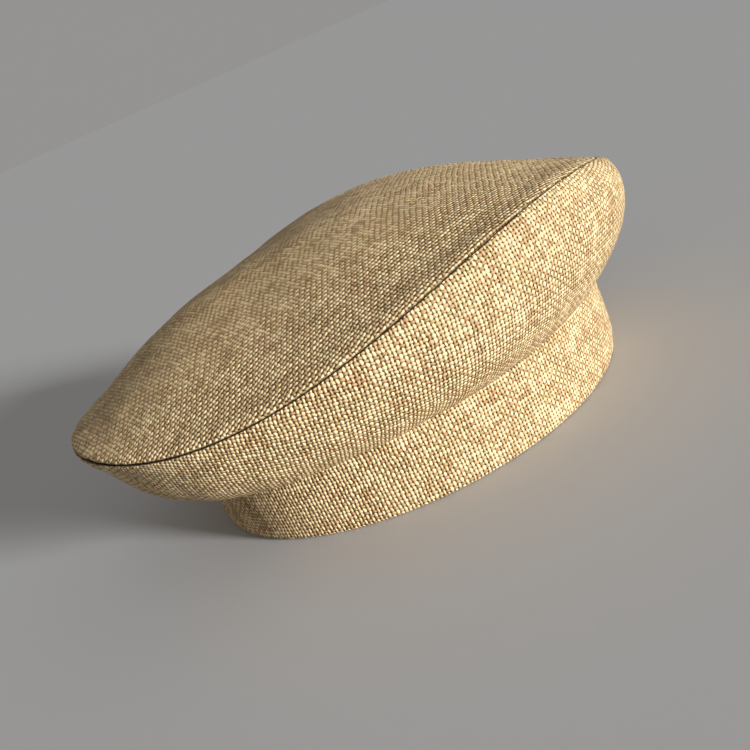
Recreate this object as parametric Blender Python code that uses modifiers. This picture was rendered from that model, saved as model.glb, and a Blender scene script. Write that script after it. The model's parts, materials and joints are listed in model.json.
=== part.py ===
"""Soft visorless cap of coarse plain-weave cloth: an oval tip, two side panels and a headband.

Metres, +Z up, +X to the front. The cap stands on the folded edge of its headband. The origin is
in the middle of the cap's footprint, on the surface that it stands on.
Every cloth layer is an open surface lofted through unlike ovals, thickened inwards by Solidify.
"""

from dataclasses import dataclass

import bmesh
import bpy
import numpy as np
from mathutils import Matrix, Vector

# ---- Driving dimensions ----------------------------------------------------------------------
SEGMENTS = 48                  # facets round every oval
TIP_RINGS = 7                  # rings of facets from the tip seam to the top of the dome
SIDE_RINGS = 8                 # rings of points from the waist to the tip seam
GAP = 0.0003                   # clearance that neighbouring solids keep

CLOTH = 0.0012                 # coarse outer cloth
INTERLINING = 0.0006           # stiff woven backing of the crown
LINING = 0.0004                # smooth inner lining
STIFFENER = 0.0008             # canvas strip that keeps the headband upright
SWEATBAND = 0.0008             # ribbed ribbon against the forehead
THREAD_RADIUS = 0.00035
LABEL = 0.0004

LAYER_GAP = 0.0008             # room between two nested layers
ALLOWANCE_ROOM = 0.0016        # room between interlining and lining for the turned seam edges
HEM_HEIGHT = 0.012             # outer cloth turned up inside the headband
SWEATBAND_LIFT = 0.0025        # the ribbon stops this far above the folded edge
SWEATBAND_DROP = 0.0055        # and this far below the waist
STIFFENER_DROP = 0.0020
WAIST_TRIM = 0.0025            # inner layers stop this far above the waist seam
SEAM_TRIM = 0.0020             # and this far short of their corner under the tip seam
END_TRIM = 0.0006              # half of the slit between a left and a right inner panel

WAIST_STITCH_DEPTH = 0.0020    # the waist thread lies this far inside the waist line
SWEATBAND_STITCH_RISE = 0.0055 # the ribbon is sewn to the hem at this height

LABEL_WIDTH = 0.026
LABEL_LENGTH = 0.017
LABEL_STITCH_RISE = 0.0013     # the tacking thread lies this far above the label's hinge


@dataclass(frozen=True)
class Oval:
    """A closed oval seen from above, whose height tilts, dips and twists on its way round."""

    half_length: float
    half_width: float
    centre: float
    height: float
    tilt: float = 0.0          # front end higher than the back
    dip: float = 0.0           # both ends against both flanks
    twist: float = 0.0         # third swing of the seam line

    def at(self, angle, scale=1.0):
        """Points at the given angles, with the oval drawn in to a share of its size."""
        rise = self.tilt * np.cos(angle) * scale
        rise = rise + self.dip * np.cos(2 * angle) * scale ** 2
        rise = rise + self.twist * np.cos(3 * angle) * scale ** 3
        x = self.centre + self.half_length * np.cos(angle)
        y = self.half_width * np.sin(angle)
        return np.stack([x, y, self.height + rise], axis=-1)


BAND_EDGE = Oval(0.1060, 0.0892, 0.0100, 0.0)
WAIST = Oval(0.1064, 0.0859, 0.0100, 0.0346, tilt=0.0028)
LOWER_FLANK = Oval(0.1267, 0.1018, 0.0058, 0.0432, tilt=0.0095)
UPPER_FLANK = Oval(0.1367, 0.1155, 0.0127, 0.0668, tilt=0.0134, dip=-0.0028)
TIP_SEAM = Oval(0.1376, 0.1104, -0.0037, 0.0816, tilt=0.0107, dip=-0.0078, twist=-0.0070)
CROWN_RISE = 0.0259            # how far the tip domes above its seam
CROWN_FULLNESS = 1.89          # 2 is a plain parabola
CROWN_TOP_X = 0.0103           # where the dome is highest, from front to back


# ---- Surfaces: angle runs round the cap, t from one edge of a piece to the other ---------------
def band_surface(angle, t):
    """Outer face of the headband, from the folded edge to the waist."""
    t = np.asarray(t)[..., None]
    return BAND_EDGE.at(angle) * (1 - t) + WAIST.at(angle) * t


def side_surface(angle, t):
    """Outer face of the side panels: a Bezier bulge from the waist to the tip seam."""
    t = np.asarray(t)[..., None]
    below = WAIST.at(angle) * (1 - t) ** 3 + LOWER_FLANK.at(angle) * 3 * t * (1 - t) ** 2
    above = UPPER_FLANK.at(angle) * 3 * t ** 2 * (1 - t) + TIP_SEAM.at(angle) * t ** 3
    return below + above


def tip_surface(angle, t):
    """Outer face of the tip, from its seam to the top of the dome."""
    t = np.asarray(t)
    seam = TIP_SEAM.at(angle, 1 - t)
    x = seam[..., 0] + (CROWN_TOP_X - seam[..., 0]) * t
    y = seam[..., 1] * (1 - t)
    z = seam[..., 2] + CROWN_RISE * (1 - np.abs(1 - t) ** CROWN_FULLNESS)
    return np.stack([x, y, z], axis=-1)


def outward(surface, angle, t):
    """Unit normal of a surface, pointing out of the cap."""
    step = 1e-4
    along = surface(angle + step, t) - surface(angle - step, t)
    across = surface(angle, t + step) - surface(angle, t - step)
    normal = np.cross(along, across)
    return normal / np.linalg.norm(normal, axis=-1, keepdims=True)


def inset(surface, angle, t, depth):
    """Points a given depth inside a surface."""
    return surface(angle, t) - outward(surface, angle, t) * depth


def share_at(surface, angle, distance, from_far_edge=False):
    """The t that lies a given distance along a surface from one of its edges."""
    fine = np.linspace(0.0, 0.5, 101)
    found = []
    for a, reach in zip(angle, np.broadcast_to(distance, angle.shape)):
        share = 1 - fine if from_far_edge else fine
        line = surface(np.full_like(fine, a), share)
        length = np.concatenate([[0], np.cumsum(np.linalg.norm(np.diff(line, axis=0), axis=1))])
        found.append(np.interp(reach, length, share))
    return np.array(found)


def seam_setback(angle, depth, trim=0.0):
    """How far a layer stops short of the tip seam, so that both sides of the corner clear."""
    near = 0.03
    seam = TIP_SEAM.at(angle)
    to_tip = tip_surface(angle, np.full_like(angle, near)) - seam
    to_side = side_surface(angle, np.full_like(angle, 1 - near)) - seam
    to_tip /= np.linalg.norm(to_tip, axis=1, keepdims=True)
    to_side /= np.linalg.norm(to_side, axis=1, keepdims=True)
    half_corner = np.arccos(np.clip((to_tip * to_side).sum(1), -1, 1)) / 2
    return trim + (GAP / 2 + depth * np.cos(half_corner)) / np.sin(half_corner)


# ---- Building blocks ---------------------------------------------------------------------------
def clear_scene():
    for old in list(bpy.data.objects):
        bpy.data.objects.remove(old, do_unlink=True)


def cap_collection():
    collection = bpy.data.collections.new("soft_cap")
    bpy.context.scene.collection.children.link(collection)
    return collection


def principled(name, colour, roughness):
    material = bpy.data.materials.new(name)
    material.use_nodes = True
    shader = material.node_tree.nodes["Principled BSDF"]
    shader.inputs["Base Color"].default_value = (*colour, 1.0)
    shader.inputs["Roughness"].default_value = roughness
    shader.inputs["Metallic"].default_value = 0.0
    return material


def finish_object(name, data, material):
    piece = bpy.data.objects.new(name, data)
    piece.data.materials.append(material)
    PARTS.objects.link(piece)
    return piece


def loft(name, rows, closed, material, thickness, apex=None):
    """A shell through rows of points: an open surface, thickened inwards by Solidify."""
    shape = bmesh.new()
    grid = [[shape.verts.new(point) for point in row] for row in rows]
    columns = len(grid[0])
    for lower, upper in zip(grid, grid[1:]):
        for column in range(columns if closed else columns - 1):
            right = (column + 1) % columns
            shape.faces.new((lower[column], lower[right], upper[right], upper[column]))
    if apex is not None:
        top = shape.verts.new(apex)
        for column in range(columns):
            shape.faces.new((grid[-1][column], grid[-1][(column + 1) % columns], top))
    mesh = bpy.data.meshes.new(name)
    shape.to_mesh(mesh)
    shape.free()
    mesh.shade_smooth()
    piece = finish_object(name, mesh, material)
    solid = piece.modifiers.new("thickness", "SOLIDIFY")
    solid.thickness = thickness
    solid.offset = -1.0
    solid.use_even_offset = True
    return piece


def thread(name, points, closed, material, radius=THREAD_RADIUS):
    """A sewing thread as a round wire along a run of points."""
    curve = bpy.data.curves.new(name, "CURVE")
    curve.dimensions = "3D"
    curve.bevel_depth = radius
    curve.bevel_resolution = 1
    curve.use_fill_caps = not closed
    spline = curve.splines.new("POLY")
    spline.points.add(len(points) - 1)
    for knot, point in zip(spline.points, points):
        knot.co = (*point, 1.0)
    spline.use_cyclic_u = closed
    return finish_object(name, curve, material)


def round_angles():
    return np.linspace(0, 2 * np.pi, SEGMENTS, endpoint=False)


def half_angles(side, slit):
    """Angles of a left (+1) or right (-1) half, whose ends stop short of the middle plane."""
    end = slit / BAND_EDGE.half_width
    angles = np.linspace(0, np.pi, SEGMENTS // 2 + 1)
    angles[0] += end
    angles[-1] -= end
    return angles if side > 0 else angles + np.pi


# ---- Crown ---------------------------------------------------------------------------------------
def tip_layer(name, depth, thickness, material, seam_trim):
    """An oval layer of the crown's top, closed over the dome."""
    angle = round_angles()
    setback = seam_setback(angle, depth + thickness, seam_trim)
    start = share_at(tip_surface, angle, setback)
    rows = []
    for share in np.linspace(0, 1, TIP_RINGS + 1)[:-1]:
        rows.append(inset(tip_surface, angle, start + (1 - start) * share, depth))
    top = tip_surface(np.zeros(1), np.ones(1))[0] - np.array([0, 0, depth])
    return loft(name, rows, True, material, thickness, apex=top)


def side_layer(name, side, depth, thickness, material, waist_trim, seam_trim, slit):
    """The left or right half of the crown's side, from just above the waist to the tip seam."""
    angle = half_angles(side, slit)
    setback = seam_setback(angle, depth + thickness, seam_trim)
    start = share_at(side_surface, angle, waist_trim)
    stop = share_at(side_surface, angle, setback, True)
    rows = []
    for share in np.linspace(0, 1, SIDE_RINGS):
        rows.append(inset(side_surface, angle, start + (stop - start) * share, depth))
    return loft(name, rows, False, material, thickness)


def make_crown(cloth, canvas, satin):
    """Three nested layers: outer cloth, backing and lining, each a tip and two side halves."""
    backing_depth = CLOTH + LAYER_GAP
    lining_depth = backing_depth + INTERLINING + ALLOWANCE_ROOM
    tip_layer("tip_panel", 0.0, CLOTH, cloth, 0.0)
    tip_layer("tip_interlining", backing_depth, INTERLINING, canvas, SEAM_TRIM)
    tip_layer("tip_lining", lining_depth, LINING, satin, SEAM_TRIM)
    for side, word in ((1, "left"), (-1, "right")):
        side_layer("side_panel_" + word, side, 0.0, CLOTH, cloth, GAP / 2, 0.0, GAP / 2)
        side_layer("side_interlining_" + word, side, backing_depth, INTERLINING, canvas,
                   WAIST_TRIM, SEAM_TRIM, END_TRIM)
        side_layer("side_lining_" + word, side, lining_depth, LINING, satin,
                   WAIST_TRIM, SEAM_TRIM, END_TRIM)


# ---- Headband ------------------------------------------------------------------------------------
def band_row(depth, height):
    """A ring inside the headband's outer face, at a height above the folded edge."""
    angle = round_angles()
    rise = WAIST.at(angle)[:, 2]
    share = np.clip(height / rise, 0, 1)
    ring = inset(band_surface, angle, share, depth)
    ring[:, 2] = share * rise
    return ring


def waist_row(depth, drop):
    """A ring inside the headband's outer face, a given drop below the waist."""
    angle = round_angles()
    rise = WAIST.at(angle)[:, 2]
    ring = inset(band_surface, angle, 1 - drop / rise, depth)
    ring[:, 2] = rise - drop
    return ring


def fold_width():
    return 2 * CLOTH + STIFFENER + 2 * LAYER_GAP


def make_headband(cloth, canvas, ribbon):
    """The band is folded under: its outer wall, flat lower edge and turned-up hem are one cloth."""
    width = fold_width()
    outer_wall = [waist_row(0, GAP / 2), waist_row(0, WAIST.height / 2), band_row(0, 0)]
    hem = [band_row(width, 0), band_row(width, HEM_HEIGHT)]
    loft("headband", list(reversed(outer_wall + hem)), True, cloth, CLOTH)
    stiffener_depth = CLOTH + LAYER_GAP
    floor = CLOTH + LAYER_GAP
    rows = [band_row(stiffener_depth, floor), band_row(stiffener_depth, WAIST.height / 2),
            waist_row(stiffener_depth, STIFFENER_DROP)]
    loft("headband_stiffener", rows, True, canvas, STIFFENER)
    sweat_depth = sweatband_depth()
    rows = [band_row(sweat_depth, SWEATBAND_LIFT), band_row(sweat_depth, HEM_HEIGHT),
            waist_row(sweat_depth, SWEATBAND_DROP)]
    loft("sweatband", rows, True, ribbon, SWEATBAND)


def sweatband_depth():
    return fold_width() + LAYER_GAP


# ---- Threads -------------------------------------------------------------------------------------
def corner_ring(depth):
    """A ring in the inner corner under the tip seam, in the middle between both layers."""
    angle = round_angles()
    setback = seam_setback(angle, depth)
    over = inset(tip_surface, angle, share_at(tip_surface, angle, setback), depth)
    under = inset(side_surface, angle, share_at(side_surface, angle, setback, True), depth)
    return (over + under) / 2


def seam_column(angle, depth, shares):
    """Points up the middle of a side seam, at the front or the back."""
    return inset(side_surface, np.full_like(shares, angle), shares, depth)


def headband_seam_line():
    """Points up the headband's back seam, in the room between its stiffener and the ribbon."""
    depth = fold_width() - CLOTH / 2
    heights = np.linspace(HEM_HEIGHT + 0.002, WAIST.height - SWEATBAND_DROP - 0.004, 5)
    return [band_row(depth, height)[SEGMENTS // 2] for height in heights]


def make_threads(material):
    allowance_depth = CLOTH + LAYER_GAP + INTERLINING + ALLOWANCE_ROOM / 2
    thread("tip_seam_thread", corner_ring(allowance_depth), True, material)
    waist_line = waist_row(WAIST_STITCH_DEPTH, -THREAD_RADIUS)
    thread("waist_seam_thread", waist_line, True, material)
    shares = np.linspace(0.14, 0.86, 13)
    thread("front_seam_thread", seam_column(0.0, allowance_depth, shares), False, material)
    thread("back_seam_thread", seam_column(np.pi, allowance_depth, shares), False, material)
    stitch_depth = sweatband_depth() + SWEATBAND + THREAD_RADIUS + GAP
    thread("sweatband_lower_stitch", band_row(stitch_depth, SWEATBAND_STITCH_RISE), True, material)
    thread("headband_seam_thread", headband_seam_line(), False, material)


# ---- Care label ----------------------------------------------------------------------------------
def label_x(height):
    """Where the label hangs at a height: its side edges just clear of the curved ribbon."""
    ring = band_row(sweatband_depth() + SWEATBAND, height)
    behind = ring[ring[:, 0] < 0]
    behind = behind[np.argsort(behind[:, 1])]
    return np.interp(LABEL_WIDTH / 2, behind[:, 1], behind[:, 0]) + 2 * GAP


def make_label(material, thread_material):
    """A blank label that hangs from its top edge, with its origin on that edge."""
    top = WAIST.at(np.array(np.pi))[2] - SWEATBAND_DROP
    half = LABEL_WIDTH / 2
    heights = np.linspace(top, top - LABEL_LENGTH, 5)
    rows = [[(label_x(z), y, z) for y in (-half, 0, half)] for z in heights]
    piece = loft("care_label", rows, False, material, LABEL)
    hinge = Vector((label_x(top) + LABEL / 2, 0, top))
    piece.data.transform(Matrix.Translation(-hinge))
    piece.location = hinge
    tack = [hinge + Vector((0, y, LABEL_STITCH_RISE)) for y in np.linspace(-half, half, 5)]
    thread("label_stitch", tack, False, thread_material)


# ---- The cap -------------------------------------------------------------------------------------
clear_scene()
PARTS = cap_collection()
STRAW_CLOTH = principled("straw_cloth", (0.55, 0.41, 0.22), 0.9)
CANVAS = principled("backing_canvas", (0.70, 0.66, 0.56), 0.95)
SATIN = principled("lining_satin", (0.42, 0.31, 0.18), 0.45)
RIBBON = principled("sweatband_ribbon", (0.30, 0.21, 0.12), 0.8)
THREAD = principled("sewing_thread", (0.20, 0.11, 0.06), 0.7)
LABEL_TAPE = principled("label_tape", (0.80, 0.78, 0.72), 0.6)

make_crown(STRAW_CLOTH, CANVAS, SATIN)
make_headband(STRAW_CLOTH, CANVAS, RIBBON)
make_threads(THREAD)
make_label(LABEL_TAPE, THREAD)
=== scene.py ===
# %% [markdown]
# # A soft cap in coarse straw cloth
# The cap has no peak. Its outer cloth is an oval tip, two side panels and a headband, all cut from one
# coarse plain weave. Inside are a canvas backing, a lining, a ribbed ribbon against the forehead and
# a small blank label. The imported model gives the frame; every piece below is built around it.

import json
from dataclasses import dataclass
from math import cos, pi, radians, sin

import bpy
import numpy as np
from mathutils import Matrix, Vector


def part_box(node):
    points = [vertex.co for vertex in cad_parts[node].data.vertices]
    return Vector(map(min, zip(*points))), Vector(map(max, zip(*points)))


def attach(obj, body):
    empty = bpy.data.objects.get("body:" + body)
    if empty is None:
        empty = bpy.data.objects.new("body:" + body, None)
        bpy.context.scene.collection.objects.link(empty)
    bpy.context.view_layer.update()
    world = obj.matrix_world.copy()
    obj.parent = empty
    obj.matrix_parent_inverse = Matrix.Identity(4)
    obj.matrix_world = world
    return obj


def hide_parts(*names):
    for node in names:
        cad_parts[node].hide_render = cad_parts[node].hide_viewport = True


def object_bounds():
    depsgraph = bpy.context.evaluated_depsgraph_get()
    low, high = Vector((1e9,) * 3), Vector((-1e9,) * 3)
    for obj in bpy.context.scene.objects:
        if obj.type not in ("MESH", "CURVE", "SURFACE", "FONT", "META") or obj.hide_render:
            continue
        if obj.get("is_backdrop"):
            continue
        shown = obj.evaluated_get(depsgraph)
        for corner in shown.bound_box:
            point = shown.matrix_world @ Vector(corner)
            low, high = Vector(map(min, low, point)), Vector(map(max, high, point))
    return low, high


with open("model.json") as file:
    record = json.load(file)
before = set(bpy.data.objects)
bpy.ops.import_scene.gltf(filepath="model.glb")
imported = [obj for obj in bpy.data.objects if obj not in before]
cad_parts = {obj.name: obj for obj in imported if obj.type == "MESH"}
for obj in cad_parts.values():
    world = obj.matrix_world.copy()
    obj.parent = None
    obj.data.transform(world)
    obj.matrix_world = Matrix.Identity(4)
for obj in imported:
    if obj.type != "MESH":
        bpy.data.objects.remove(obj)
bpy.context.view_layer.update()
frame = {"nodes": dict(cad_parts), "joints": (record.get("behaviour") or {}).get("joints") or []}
print("nodes:", sorted(frame["nodes"]))

# %% [markdown]
# ## The camera
# The cap is seen from its right, a little from behind and from 20 degrees above, and the camera leans
# to one side, so the cap seems to slope. Three angles and a distance say that more plainly than a
# matrix would, and the camera's axes are worked out from them.

# %% Camera
VIEW_AZIMUTH = -16.19          # degrees; 0 looks along +Y
VIEW_ELEVATION = 20.37
VIEW_ROLL = -24.05
VIEW_DISTANCE = 0.487
VIEW_TARGET = Vector((0.0077, 0.0351, 0.0160))
LENS = 43.95                   # mm on a 36 mm sensor


def direction(azimuth, elevation):
    """Unit vector from the cap towards a viewer or a lamp."""
    a, e = radians(azimuth), radians(elevation)
    return Vector((sin(a) * cos(e), -cos(a) * cos(e), sin(e)))


def leaning_camera():
    back = direction(VIEW_AZIMUTH, VIEW_ELEVATION)
    level = (-back).cross(Vector((0, 0, 1))).normalized()
    upright = level.cross(-back)
    roll = radians(VIEW_ROLL)
    right = level * cos(roll) + upright * sin(roll)
    up = upright * cos(roll) - level * sin(roll)
    camera = bpy.data.objects.new("camera", bpy.data.cameras.new("camera"))
    bpy.context.scene.collection.objects.link(camera)
    camera.data.lens = LENS
    camera.data.clip_start = 0.01
    turn = Matrix((right, up, back)).transposed().to_4x4()
    camera.matrix_world = Matrix.Translation(VIEW_TARGET + back * VIEW_DISTANCE) @ turn
    bpy.context.scene.camera = camera


leaning_camera()
print("camera lens, mm:", LENS)

# %% [markdown]
# ## The shape of the cap
# Five unlike ovals carry the whole shape: the folded edge, the waist, two rings that pull the flank
# out, and the seam round the tip. The flank is a Bezier curve drawn through them at every angle, and
# the tip is a dome over its seam. The same few numbers drive the frame, so the pieces meet it.


# %% Ovals
@dataclass(frozen=True)
class Oval:
    """A closed oval seen from above, whose height tilts, dips and twists on its way round."""

    half_length: float
    half_width: float
    centre: float
    height: float
    tilt: float = 0.0
    dip: float = 0.0
    twist: float = 0.0

    def at(self, angle, scale=1.0):
        rise = self.tilt * np.cos(angle) * scale
        rise = rise + self.dip * np.cos(2 * angle) * scale ** 2
        rise = rise + self.twist * np.cos(3 * angle) * scale ** 3
        x = self.centre + self.half_length * np.cos(angle)
        y = self.half_width * np.sin(angle)
        return np.stack([x, y, self.height + rise], axis=-1)


BAND_EDGE = Oval(0.1060, 0.0892, 0.0100, 0.0)
WAIST = Oval(0.1064, 0.0859, 0.0100, 0.0346, tilt=0.0028)
LOWER_FLANK = Oval(0.1267, 0.1018, 0.0058, 0.0432, tilt=0.0095)
UPPER_FLANK = Oval(0.1367, 0.1155, 0.0127, 0.0668, tilt=0.0134, dip=-0.0028)
TIP_SEAM = Oval(0.1376, 0.1104, -0.0037, 0.0816, tilt=0.0107, dip=-0.0078, twist=-0.0070)
CROWN_RISE = 0.0259
CROWN_FULLNESS = 1.89
CROWN_TOP_X = 0.0103


def band_surface(angle, t):
    t = np.asarray(t)[..., None]
    return BAND_EDGE.at(angle) * (1 - t) + WAIST.at(angle) * t


def side_surface(angle, t):
    t = np.asarray(t)[..., None]
    below = WAIST.at(angle) * (1 - t) ** 3 + LOWER_FLANK.at(angle) * 3 * t * (1 - t) ** 2
    above = UPPER_FLANK.at(angle) * 3 * t ** 2 * (1 - t) + TIP_SEAM.at(angle) * t ** 3
    return below + above


def tip_surface(angle, t):
    t = np.asarray(t)
    seam = TIP_SEAM.at(angle, 1 - t)
    x = seam[..., 0] + (CROWN_TOP_X - seam[..., 0]) * t
    y = seam[..., 1] * (1 - t)
    z = seam[..., 2] + CROWN_RISE * (1 - np.abs(1 - t) ** CROWN_FULLNESS)
    return np.stack([x, y, z], axis=-1)


def outward(surface, angle, t):
    step = 1e-4
    along = surface(angle + step, t) - surface(angle - step, t)
    across = surface(angle, t + step) - surface(angle, t - step)
    normal = np.cross(along, across)
    return normal / np.maximum(np.linalg.norm(normal, axis=-1, keepdims=True), 1e-12)


print("tip seam, mm:", 2000 * TIP_SEAM.half_length, "x", 2000 * TIP_SEAM.half_width)

# %% [markdown]
# ## Measuring along the cloth
# Seam ditches, turned edges and the weave are all sized along the cloth and not along an angle. So
# lengths are added up along each line of the surface, and the weave's coordinates are kept in metres
# on every point. A tailor would say that each piece remembers its flat cut.

# %% Lengths and grids
def run_lengths(points, axis):
    """Length so far along rows (axis 0) or columns (axis 1) of a grid of points."""
    steps = np.linalg.norm(np.diff(points, axis=axis), axis=-1)
    start = np.zeros_like(np.take(steps, [0], axis=axis))
    return np.concatenate([start, np.cumsum(steps, axis=axis)], axis=axis)


def ripple(x, y, wavelength, seed, waves=7):
    """Smooth, repeatable unevenness from -1 to 1: a few crossing sine waves."""
    draw = np.random.default_rng(seed)
    total = np.zeros(np.broadcast(x, y).shape)
    for _ in range(waves):
        heading, phase = draw.uniform(0, 2 * pi), draw.uniform(0, 2 * pi)
        stretch = draw.uniform(0.7, 1.4)
        wave = (x * cos(heading) + y * sin(heading)) * 2 * pi / (wavelength * stretch)
        total += np.sin(wave + phase)
    return total / waves ** 0.5 / 1.6


def hump(distance, width):
    """A soft bump that is 1 at no distance and fades over a width."""
    return np.exp(-(distance / width) ** 2)


def shell(name, points, closed, thickness, cut, apex=None, apex_cut=None):
    """A cloth piece: a grid of points skinned with quads and thickened inwards by Solidify."""
    rows, columns = points.shape[:2]
    index = np.arange(rows * columns).reshape(rows, columns)
    right = np.roll(index, -1, axis=1)
    if not closed:
        index, right = index[:, :-1], right[:, :-1]
    quads = np.stack([index[:-1], right[:-1], right[1:], index[1:]], axis=-1).reshape(-1, 4)
    faces = quads.tolist()
    verts = points.reshape(-1, 3)
    flat = cut.reshape(-1, 3)
    if apex is not None:
        top = len(verts)
        verts = np.concatenate([verts, apex[None]])
        flat = np.concatenate([flat, [apex_cut]])
        faces += [[a, b, top] for a, b in zip(index[-1].tolist(), right[-1].tolist())]
    mesh = bpy.data.meshes.new(name)
    mesh.from_pydata(verts.tolist(), [], faces)
    mesh.shade_smooth()
    mesh.attributes.new("cut", "FLOAT_VECTOR", "POINT").data.foreach_set("vector", flat.ravel())
    piece = bpy.data.objects.new(name, mesh)
    bpy.context.scene.collection.objects.link(piece)
    solid = piece.modifiers.new("thickness", "SOLIDIFY")
    solid.thickness = thickness
    solid.offset = -1.0
    around = flat[quads][..., :2]
    onward = np.roll(around, -1, axis=1)
    area = np.abs(np.sum(around[..., 0] * onward[..., 1] - onward[..., 0] * around[..., 1], axis=1)) / 2
    piece["flat_size"] = [float(size) for size in (*np.ptp(flat[:, :2], axis=0), area.sum())]
    return piece


def as_sheet(piece, held, *rests_on):
    """Prints a cloth piece's flat size and how it is held. The size is read back from the weave's
    coordinates, which follow the finished surface, so it wasn't drafted beforehand."""
    width, length, area = piece["flat_size"]
    size = f"{width * 1000:.0f} x {length * 1000:.0f} mm, {area * 10000:.0f} cm2"
    print(f"{piece.name}: cut {size}, {held}")


def flat_cut(x, y, ditch=None):
    """The weave's coordinates of a grid, and how much of a seam ditch's painted shade each point gets.
    """
    return np.stack(np.broadcast_arrays(x, y, 0.0 if ditch is None else ditch), axis=-1)


def settle(piece, body, slot, material, *nodes):
    """Gives a finished piece its material and its body, and hides the nodes that it stands for."""
    piece.data.materials.clear()
    piece.data.materials.append(material)
    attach(piece, body)
    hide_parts(*nodes)
    print(piece.name, "stands for", ", ".join(nodes))


# %% [markdown]
# ## Shader arithmetic
# A weave is arithmetic: which thread is on top, how far from its middle a point lies. Written as
# nodes by hand it would be pages long, so a small class lets Python's own operators add the nodes.

# %% Node arithmetic
class Sock:
    """An output socket of a material's nodes, which + - * / and comparisons can work on."""

    def __init__(self, tree, socket=None):
        self.tree = tree
        self.socket = socket

    def node(self, kind, settings=None, sockets=None, out=0):
        """Adds any node: its settings first, then the values or links of its sockets."""
        made = self.tree.nodes.new(kind)
        for name, value in (settings or {}).items():
            setattr(made, name, value)
        for name, value in (sockets or {}).items():
            if isinstance(value, Sock):
                self.tree.links.new(value.socket, made.inputs[name])
            else:
                made.inputs[name].default_value = value
        return Sock(self.tree, made.outputs[out])

    def math(self, operation, *values):
        return self.node("ShaderNodeMath", {"operation": operation}, dict(enumerate(values)))

    def __add__(self, other):
        return self.math("ADD", self, other)

    def __sub__(self, other):
        return self.math("SUBTRACT", self, other)

    def __rsub__(self, other):
        return self.math("SUBTRACT", other, self)

    def __mul__(self, other):
        return self.math("MULTIPLY", self, other)

    def __truediv__(self, other):
        return self.math("DIVIDE", self, other)

    def __gt__(self, other):
        return self.math("GREATER_THAN", self, other)

    __radd__ = __add__
    __rmul__ = __mul__

    def between(self, low, high):
        """0 below low, 1 above high, and smooth in between."""
        sockets = {"Value": self, "From Min": low, "From Max": high}
        return self.node("ShaderNodeMapRange", {"interpolation_type": "SMOOTHSTEP"}, sockets)

    def blend(self, first, second):
        """Colours first to second as this value goes from 0 to 1."""
        made = self.node("ShaderNodeMix", {"data_type": "RGBA"}, {"Factor": self})
        mix = made.socket.node
        for plug, value in ((mix.inputs[6], first), (mix.inputs[7], second)):
            if isinstance(value, Sock):
                self.tree.links.new(value.socket, plug)
            else:
                plug.default_value = (*value, 1.0)
        return Sock(self.tree, mix.outputs[2])


def new_material(name):
    """A material with only an output and a Principled shader, and the socket to build from."""
    material = bpy.data.materials.new(name)
    material.use_nodes = True
    tree = material.node_tree
    return material, Sock(tree), tree.nodes["Principled BSDF"]


def connect(start, shader, colour, height, depth):
    """Feeds a colour and a relief to the shader; depth is how many metres one unit of height is."""
    tree = start.tree
    tree.links.new(colour.socket, shader.inputs["Base Color"])
    bump = start.node("ShaderNodeBump", {}, {"Height": height, "Strength": 1.0, "Distance": depth})
    tree.links.new(bump.socket, shader.inputs["Normal"])


# %% [markdown]
# ## Straw cloth
# The outer cloth is a coarse, square plain weave: threads about 1.75 mm apart both ways, uneven in
# thickness, pale straw where they catch the light. Painted shade makes the holes between them and the
# sides of each thread red-brown, a painted highlight makes the warp paler than the weft, and painted
# shade darkens the seam ditches. Each thread passes over one and under the next. Its height swings as
# a sine along its length, and the higher of the two crossing threads is the one that shows. Noise
# stretched along each thread makes the slubs.

# %% Straw cloth
THREAD_PITCH = 0.00175
WARP_PROUD = 0.03              # how far the warp stands above the weft, in pitches
WARP_PAINTED_HIGHLIGHT = 0.42              # painted highlight: how much paler the warp is painted than the weft
WEAVE_WOBBLE = 0.9             # how far threads wander, in pitches
RELIEF_SHARE = 0.70            # relief of the weave, against the thread pitch
STRAW_PALE = (0.90, 0.70, 0.40)
STRAW_OLIVE = (0.40, 0.28, 0.11)
STRAW_PINK = (0.50, 0.27, 0.13)
# Painted shade: the red-brown that the holes between the threads are painted.
HOLE_SHADE_BROWN = (0.072, 0.025, 0.006)
# Painted shade: the dark brown that the seams' ditches are painted, where little light reaches.
DITCH_SHADE_BROWN = (0.045, 0.018, 0.009)


def thread_tone(start, number, along, stretch, seed):
    """Noise that belongs to one thread and changes slowly along it."""
    sockets = {"X": number * 5.37, "Y": along * stretch, "Z": seed}
    place = start.node("ShaderNodeCombineXYZ", {}, sockets)
    return start.node("ShaderNodeTexNoise", {}, {"Vector": place, "Scale": 1.0, "Detail": 1.0})


def thread_height(across, number, swing, slub, width):
    """Height of a round thread, in pitches: its swing over and under, less its fall to the sides."""
    from_middle = (across - number - 0.5) / (slub * 0.30 + width)
    fall = from_middle * from_middle
    return swing * 0.34 - fall * 0.30


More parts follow.
